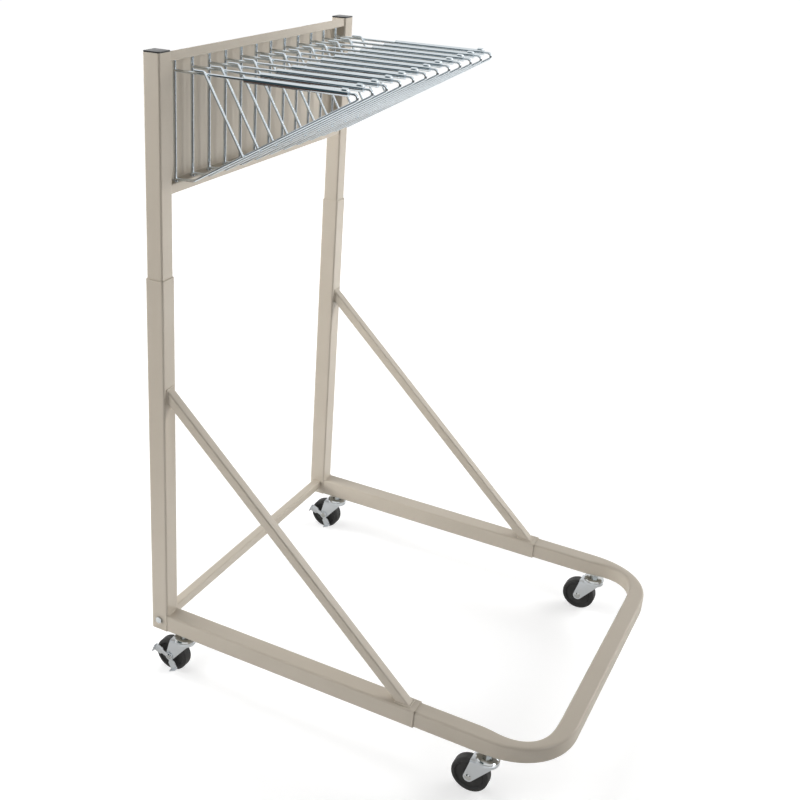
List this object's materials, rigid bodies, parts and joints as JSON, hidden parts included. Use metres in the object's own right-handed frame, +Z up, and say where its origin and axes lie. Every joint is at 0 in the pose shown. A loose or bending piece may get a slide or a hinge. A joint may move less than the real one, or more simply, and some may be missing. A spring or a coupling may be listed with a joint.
{
  "type": "mobile pivot rack",
  "caption": "Rolling rack of square steel tube with a height-adjustable panel of swinging wire hangers, an extending base and swivel casters, for holding sheets or newspapers.",
  "frame": {"origin": "on the floor, midway between the two posts, under the centre line of the posts", "axes": "+Z up, -Y to the front where the hangers and the base reach, +X to the right seen from the front with the panel behind"},
  "size_m": [0.7224, 0.8642, 1.2565],
  "materials": {
    "frame_paint": "semi-gloss sand beige paint",
    "chrome_wire": "bright chrome plate",
    "chrome_sleeve": "bright chrome plate",
    "zinc_plate": "bright zinc plate",
    "cap_plastic": "black moulded plastic",
    "wheel_rubber": "black hard rubber"
  },
  "bodies": {
    "base_frame": {"left_lower_post": "frame_paint", "right_lower_post": "frame_paint", "left_base_arm": "frame_paint", "right_base_arm": "frame_paint", "left_brace": "frame_paint", "right_brace": "frame_paint", "rear_crossbar": "frame_paint", "crossbar_bolts": "zinc_plate", "height_lock_screws": "zinc_plate", "depth_lock_screws": "zinc_plate", "rear_left_caster_stem": "zinc_plate", "rear_right_caster_stem": "zinc_plate", "rear_caster_balls": "zinc_plate"},
    "upper_frame": {"left_upper_post": "frame_paint", "right_upper_post": "frame_paint", "post_caps": "cap_plastic", "hanger_panel": "frame_paint"},
    "front_slide": {"front_loop": "frame_paint", "front_left_caster_stem": "zinc_plate", "front_right_caster_stem": "zinc_plate", "front_caster_balls": "zinc_plate"},
    "hanger_01": {"hanger_01_frame": "chrome_wire", "hanger_01_sleeve": "chrome_sleeve"},
    "hanger_02": {"hanger_02_frame": "chrome_wire", "hanger_02_sleeve": "chrome_sleeve"},
    "hanger_03": {"hanger_03_frame": "chrome_wire", "hanger_03_sleeve": "chrome_sleeve"},
    "hanger_04": {"hanger_04_frame": "chrome_wire", "hanger_04_sleeve": "chrome_sleeve"},
    "hanger_05": {"hanger_05_frame": "chrome_wire", "hanger_05_sleeve": "chrome_sleeve"},
    "hanger_06": {"hanger_06_frame": "chrome_wire", "hanger_06_sleeve": "chrome_sleeve"},
    "hanger_07": {"hanger_07_frame": "chrome_wire", "hanger_07_sleeve": "chrome_sleeve"},
    "hanger_08": {"hanger_08_frame": "chrome_wire", "hanger_08_sleeve": "chrome_sleeve"},
    "hanger_09": {"hanger_09_frame": "chrome_wire", "hanger_09_sleeve": "chrome_sleeve"},
    "hanger_10": {"hanger_10_frame": "chrome_wire", "hanger_10_sleeve": "chrome_sleeve"},
    "hanger_11": {"hanger_11_frame": "chrome_wire", "hanger_11_sleeve": "chrome_sleeve"},
    "hanger_12": {"hanger_12_frame": "chrome_wire", "hanger_12_sleeve": "chrome_sleeve"},
    "rear_left_caster_swivel": {"rear_left_caster_fork": "zinc_plate", "rear_left_caster_axle": "zinc_plate"},
    "rear_left_caster_roller": {"rear_left_caster_wheel": "wheel_rubber"},
    "rear_left_caster_brake": {"rear_left_caster_brake_lever": "zinc_plate"},
    "rear_right_caster_swivel": {"rear_right_caster_fork": "zinc_plate", "rear_right_caster_axle": "zinc_plate"},
    "rear_right_caster_roller": {"rear_right_caster_wheel": "wheel_rubber"},
    "rear_right_caster_brake": {"rear_right_caster_brake_lever": "zinc_plate"},
    "front_left_caster_swivel": {"front_left_caster_fork": "zinc_plate", "front_left_caster_axle": "zinc_plate"},
    "front_left_caster_roller": {"front_left_caster_wheel": "wheel_rubber"},
    "front_right_caster_swivel": {"front_right_caster_fork": "zinc_plate", "front_right_caster_axle": "zinc_plate"},
    "front_right_caster_roller": {"front_right_caster_wheel": "wheel_rubber"}
  },
  "joints": [
    {"name": "height_slide", "type": "slide", "parent": "base_frame", "child": "upper_frame", "axis": [0, 0, 1], "range_m": [-0.15, 0.3]},
    {"name": "depth_slide", "type": "slide", "parent": "base_frame", "child": "front_slide", "axis": [0, -1, 0], "range_m": [-0.1, 0.09]},
    {"name": "hanger_01_swing", "type": "hinge", "parent": "upper_frame", "child": "hanger_01", "pos_m": [-0.2942, -0.00625, 1.219], "axis": [0, 0, -1], "range_deg": [0, 60]},
    {"name": "hanger_02_swing", "type": "hinge", "parent": "upper_frame", "child": "hanger_02", "pos_m": [-0.24071, -0.00625, 1.219], "axis": [0, 0, -1], "range_deg": [0, 60]},
    {"name": "hanger_03_swing", "type": "hinge", "parent": "upper_frame", "child": "hanger_03", "pos_m": [-0.18722, -0.00625, 1.219], "axis": [0, 0, -1], "range_deg": [0, 60]},
    {"name": "hanger_04_swing", "type": "hinge", "parent": "upper_frame", "child": "hanger_04", "pos_m": [-0.13373, -0.00625, 1.219], "axis": [0, 0, -1], "range_deg": [0, 60]},
    {"name": "hanger_05_swing", "type": "hinge", "parent": "upper_frame", "child": "hanger_05", "pos_m": [-0.08024, -0.00625, 1.219], "axis": [0, 0, -1], "range_deg": [0, 60]},
    {"name": "hanger_06_swing", "type": "hinge", "parent": "upper_frame", "child": "hanger_06", "pos_m": [-0.02675, -0.00625, 1.219], "axis": [0, 0, -1], "range_deg": [0, 60]},
    {"name": "hanger_07_swing", "type": "hinge", "parent": "upper_frame", "child": "hanger_07", "pos_m": [0.02675, -0.00625, 1.219], "axis": [0, 0, 1], "range_deg": [0, 60]},
    {"name": "hanger_08_swing", "type": "hinge", "parent": "upper_frame", "child": "hanger_08", "pos_m": [0.08024, -0.00625, 1.219], "axis": [0, 0, 1], "range_deg": [0, 60]},
    {"name": "hanger_09_swing", "type": "hinge", "parent": "upper_frame", "child": "hanger_09", "pos_m": [0.13373, -0.00625, 1.219], "axis": [0, 0, 1], "range_deg": [0, 60]},
    {"name": "hanger_10_swing", "type": "hinge", "parent": "upper_frame", "child": "hanger_10", "pos_m": [0.18722, -0.00625, 1.219], "axis": [0, 0, 1], "range_deg": [0, 60]},
    {"name": "hanger_11_swing", "type": "hinge", "parent": "upper_frame", "child": "hanger_11", "pos_m": [0.24071, -0.00625, 1.219], "axis": [0, 0, 1], "range_deg": [0, 60]},
    {"name": "hanger_12_swing", "type": "hinge", "parent": "upper_frame", "child": "hanger_12", "pos_m": [0.2942, -0.00625, 1.219], "axis": [0, 0, 1], "range_deg": [0, 60]},
    {"name": "rear_left_caster_turn", "type": "hinge", "parent": "base_frame", "child": "rear_left_caster_swivel", "pos_m": [-0.33595, -0.05005, 0.088], "axis": [0, 0, 1], "continuous": true},
    {"name": "rear_left_caster_roll", "type": "hinge", "parent": "rear_left_caster_swivel", "child": "rear_left_caster_roller", "pos_m": [-0.33595, -0.02205, 0.036], "axis": [1, 0, 0], "continuous": true},
    {"name": "rear_left_caster_brake_press", "type": "hinge", "parent": "rear_left_caster_swivel", "child": "rear_left_caster_brake", "pos_m": [-0.33595, -0.02205, 0.036], "axis": [-1, 0, 0], "range_deg": [0, 35]},
    {"name": "rear_right_caster_turn", "type": "hinge", "parent": "base_frame", "child": "rear_right_caster_swivel", "pos_m": [0.33595, -0.05005, 0.088], "axis": [0, 0, 1], "continuous": true},
    {"name": "rear_right_caster_roll", "type": "hinge", "parent": "rear_right_caster_swivel", "child": "rear_right_caster_roller", "pos_m": [0.33595, -0.02205, 0.036], "axis": [1, 0, 0], "continuous": true},
    {"name": "rear_right_caster_brake_press", "type": "hinge", "parent": "rear_right_caster_swivel", "child": "rear_right_caster_brake", "pos_m": [0.33595, -0.02205, 0.036], "axis": [-1, 0, 0], "range_deg": [0, 35]},
    {"name": "front_left_caster_turn", "type": "hinge", "parent": "front_slide", "child": "front_left_caster_swivel", "pos_m": [-0.33595, -0.7118, 0.088], "axis": [0, 0, 1], "continuous": true},
    {"name": "front_left_caster_roll", "type": "hinge", "parent": "front_left_caster_swivel", "child": "front_left_caster_roller", "pos_m": [-0.33595, -0.6838, 0.036], "axis": [1, 0, 0], "continuous": true},
    {"name": "front_right_caster_turn", "type": "hinge", "parent": "front_slide", "child": "front_right_caster_swivel", "pos_m": [0.33595, -0.7118, 0.088], "axis": [0, 0, 1], "continuous": true},
    {"name": "front_right_caster_roll", "type": "hinge", "parent": "front_right_caster_swivel", "child": "front_right_caster_roller", "pos_m": [0.33595, -0.6838, 0.036], "axis": [1, 0, 0], "continuous": true}
  ],
  "couplings": [
    {"joint": "hanger_02_swing", "follows": "hanger_01_swing", "ratio": 1},
    {"joint": "hanger_03_swing", "follows": "hanger_01_swing", "ratio": 1},
    {"joint": "hanger_04_swing", "follows": "hanger_01_swing", "ratio": 1},
    {"joint": "hanger_05_swing", "follows": "hanger_01_swing", "ratio": 1},
    {"joint": "hanger_06_swing", "follows": "hanger_01_swing", "ratio": 1},
    {"joint": "hanger_07_swing", "follows": "hanger_12_swing", "ratio": 1},
    {"joint": "hanger_08_swing", "follows": "hanger_12_swing", "ratio": 1},
    {"joint": "hanger_09_swing", "follows": "hanger_12_swing", "ratio": 1},
    {"joint": "hanger_10_swing", "follows": "hanger_12_swing", "ratio": 1},
    {"joint": "hanger_11_swing", "follows": "hanger_12_swing", "ratio": 1}
  ]
}
